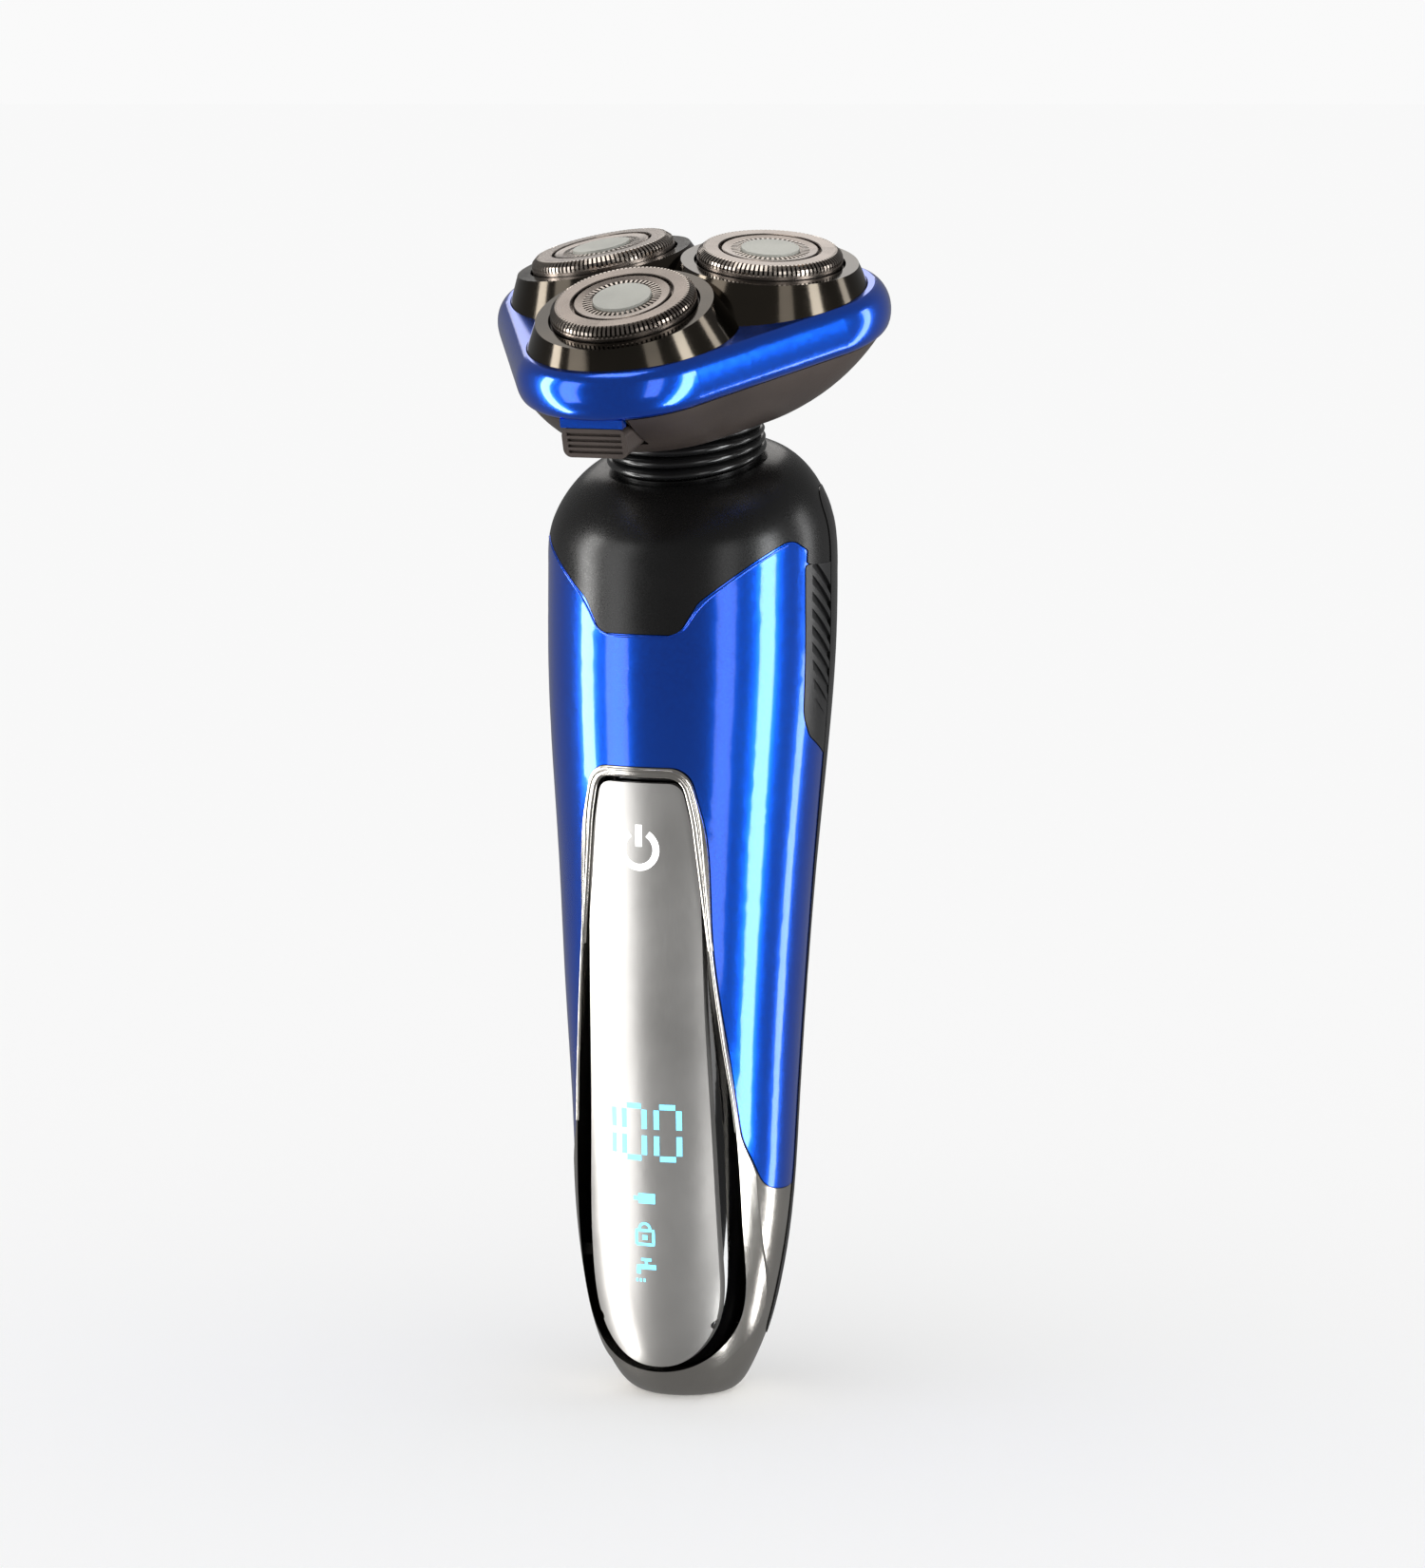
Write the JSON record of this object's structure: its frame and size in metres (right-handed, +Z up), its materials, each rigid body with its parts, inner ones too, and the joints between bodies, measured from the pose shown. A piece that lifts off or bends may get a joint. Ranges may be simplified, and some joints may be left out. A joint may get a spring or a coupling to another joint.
{
  "type": "electric shaver",
  "caption": "Cordless rotary shaver with floating slotted caps on a tilting neck, a flip-open head cover, a pressed front panel with a display, and side grips.",
  "frame": {"origin": "centre of the flat face at the handle's base", "axes": "+Z up the handle to the head, -Y out of the front with the power button, +X to the right of the front seen from behind the handle's centre line"},
  "size_m": [0.0598, 0.058, 0.1712],
  "materials": {
    "blue_gloss": "high gloss, metallic under a clear coat",
    "black_satin": "satin",
    "black_rubber": "soft sheen",
    "satin_silver": "satin metallic",
    "bright_chrome": "chrome plated plastic",
    "gloss_black": "deep gloss",
    "gunmetal": "dark chrome plated plastic",
    "smoke_plastic": "satin",
    "cap_steel": "circular brushed",
    "disc_grey": "fine matte",
    "steel_pin": "ground",
    "gear_plastic": "moulded acetal",
    "cell_wrap": "shrink wrap",
    "nickel_tab": "nickel strip",
    "board_green": "solder mask",
    "display_glass": "light guide",
    "black_inner": "moulded",
    "motor_steel": "drawn"
  },
  "bodies": {
    "handle": {"front_shell": "blue_gloss", "shoulder_shell": "black_satin", "back_cover": "black_satin", "side_grip_left": "black_rubber", "side_grip_right": "black_rubber", "trim_frame": "bright_chrome", "recess_insert": "gloss_black", "panel_pivot_pin": "steel_pin", "battery_cell": "cell_wrap", "battery_tabs": "nickel_tab", "main_board": "board_green", "display_module": "display_glass", "power_switch": "black_inner", "inner_chassis": "black_inner", "motor_can": "motor_steel", "charging_socket": "black_inner", "charging_contacts": "nickel_tab", "neck_collar": "black_satin", "neck_bellows": "black_rubber"},
    "panel_rocker": {"front_panel": "satin_silver"},
    "plunger": {"switch_plunger": "black_inner"},
    "rotor": {"motor_rotor": "steel_pin"},
    "gimbal": {"gimbal_ring": "gear_plastic"},
    "head_base": {"hair_chamber": "smoke_plastic", "hinge_pin": "steel_pin", "gear_plate": "gear_plastic", "gearbox_cover": "gear_plastic", "gearbox_screws": "steel_pin", "release_spring": "steel_pin"},
    "latch_button": {"release_button": "smoke_plastic"},
    "centre_gear": {"centre_gear": "gear_plastic"},
    "head_cover": {"head_bezel": "gunmetal", "blue_ring": "blue_gloss", "retainer_plate": "smoke_plastic"},
    "gear_front": {"driven_gear_front": "gear_plastic", "spindle_spring_front": "steel_pin"},
    "driver_front": {"spindle_driver_front": "gear_plastic"},
    "cap_front": {"shaving_cap_front": "cap_steel", "cap_disc_front": "disc_grey", "cap_holder_front": "smoke_plastic"},
    "cutter_front": {"cutter_front": "cap_steel"},
    "gear_right": {"driven_gear_right": "gear_plastic", "spindle_spring_right": "steel_pin"},
    "driver_right": {"spindle_driver_right": "gear_plastic"},
    "cap_right": {"shaving_cap_right": "cap_steel", "cap_disc_right": "disc_grey", "cap_holder_right": "smoke_plastic"},
    "cutter_right": {"cutter_right": "cap_steel"},
    "gear_left": {"driven_gear_left": "gear_plastic", "spindle_spring_left": "steel_pin"},
    "driver_left": {"spindle_driver_left": "gear_plastic"},
    "cap_left": {"shaving_cap_left": "cap_steel", "cap_disc_left": "disc_grey", "cap_holder_left": "smoke_plastic"},
    "cutter_left": {"cutter_left": "cap_steel"}
  },
  "joints": [
    {"name": "head_pitch", "type": "hinge", "parent": "handle", "child": "gimbal", "pos_m": [0, 0.00042, 0.14098], "axis": [1, 0, 0], "range_deg": [-8, 8], "stiffness_Nm_per_rad": 0.15, "deforming": ["neck_bellows"]},
    {"name": "head_roll", "type": "hinge", "parent": "gimbal", "child": "head_base", "pos_m": [0, 0.00042, 0.14098], "axis": [0, 0.9613, 0.2756], "range_deg": [-8, 8], "stiffness_Nm_per_rad": 0.15},
    {"name": "rotor_spin", "type": "hinge", "parent": "handle", "child": "rotor", "pos_m": [0, 0.00042, 0.14098], "axis": [0, -0.2756, 0.9613], "continuous": true},
    {"name": "centre_gear_spin", "type": "hinge", "parent": "head_base", "child": "centre_gear", "pos_m": [0, 0.00042, 0.14098], "axis": [0, -0.2756, 0.9613], "continuous": true},
    {"name": "cover_open", "type": "hinge", "parent": "head_base", "child": "head_cover", "pos_m": [0, 0.02111, 0.16168], "axis": [-1, 0, 0], "range_deg": [0, 100]},
    {"name": "release_press", "type": "slide", "parent": "head_base", "child": "latch_button", "axis": [0, 0.9613, 0.2756], "range_m": [0, 0.0012], "stiffness_N_per_m": 500, "springref_m": -0.001, "deforming": ["release_spring"]},
    {"name": "panel_press", "type": "hinge", "parent": "handle", "child": "panel_rocker", "pos_m": [0, -0.0091, 0.012], "axis": [-1, 0, 0], "range_deg": [0, 0.4], "stiffness_Nm_per_rad": 1, "springref_deg": -0.57},
    {"name": "plunger_press", "type": "slide", "parent": "handle", "child": "plunger", "axis": [0, 1, 0], "range_m": [0, 0.0005]},
    {"name": "gear_spin_front", "type": "hinge", "parent": "head_base", "child": "gear_front", "pos_m": [0, -0.01654, 0.14569], "axis": [0, -0.2756, 0.9613], "continuous": true},
    {"name": "driver_slide_front", "type": "slide", "parent": "gear_front", "child": "driver_front", "axis": [0, 0.2756, -0.9613], "range_m": [0, 0.0012], "deforming": ["spindle_spring_front"]},
    {"name": "cap_float_front", "type": "slide", "parent": "head_cover", "child": "cap_front", "axis": [0, 0.4067, -0.9135], "range_m": [0, 0.0012], "stiffness_N_per_m": 400, "springref_m": -0.001},
    {"name": "cutter_spin_front", "type": "hinge", "parent": "cap_front", "child": "cutter_front", "pos_m": [0, -0.02187, 0.16246], "axis": [0, -0.4067, 0.9135], "continuous": true},
    {"name": "gear_spin_right", "type": "hinge", "parent": "head_base", "child": "gear_right", "pos_m": [0.01299, 0.00509, 0.15189], "axis": [0, -0.2756, 0.9613], "continuous": true},
    {"name": "driver_slide_right", "type": "slide", "parent": "gear_right", "child": "driver_right", "axis": [0, 0.2756, -0.9613], "range_m": [0, 0.0012], "deforming": ["spindle_spring_right"]},
    {"name": "cap_float_right", "type": "slide", "parent": "head_cover", "child": "cap_right", "axis": [-0.1205, 0.2061, -0.9711], "range_m": [0, 0.0012], "stiffness_N_per_m": 400, "springref_m": -0.001},
    {"name": "cutter_spin_right", "type": "hinge", "parent": "cap_right", "child": "cutter_right", "pos_m": [0.01342, 0.00048, 0.16887], "axis": [0.1205, -0.2061, 0.9711], "continuous": true},
    {"name": "gear_spin_left", "type": "hinge", "parent": "head_base", "child": "gear_left", "pos_m": [-0.01299, 0.00509, 0.15189], "axis": [0, -0.2756, 0.9613], "continuous": true},
    {"name": "driver_slide_left", "type": "slide", "parent": "gear_left", "child": "driver_left", "axis": [0, 0.2756, -0.9613], "range_m": [0, 0.0012], "deforming": ["spindle_spring_left"]},
    {"name": "cap_float_left", "type": "slide", "parent": "head_cover", "child": "cap_left", "axis": [0.1205, 0.2061, -0.9711], "range_m": [0, 0.0012], "stiffness_N_per_m": 400, "springref_m": -0.001},
    {"name": "cutter_spin_left", "type": "hinge", "parent": "cap_left", "child": "cutter_left", "pos_m": [-0.01342, 0.00048, 0.16887], "axis": [-0.1205, -0.2061, 0.9711], "continuous": true}
  ],
  "couplings": [
    {"joint": "centre_gear_spin", "follows": "rotor_spin", "ratio": 1},
    {"joint": "plunger_press", "follows": "panel_press", "m_per_rad": 0.071},
    {"joint": "gear_spin_front", "follows": "rotor_spin", "ratio": -0.66667},
    {"joint": "cutter_spin_front", "follows": "rotor_spin", "ratio": -0.66667},
    {"joint": "driver_slide_front", "follows": "cap_float_front", "ratio": 1},
    {"joint": "gear_spin_right", "follows": "rotor_spin", "ratio": -0.66667},
    {"joint": "cutter_spin_right", "follows": "rotor_spin", "ratio": -0.66667},
    {"joint": "driver_slide_right", "follows": "cap_float_right", "ratio": 1},
    {"joint": "gear_spin_left", "follows": "rotor_spin", "ratio": -0.66667},
    {"joint": "cutter_spin_left", "follows": "rotor_spin", "ratio": -0.66667},
    {"joint": "driver_slide_left", "follows": "cap_float_left", "ratio": 1}
  ]
}
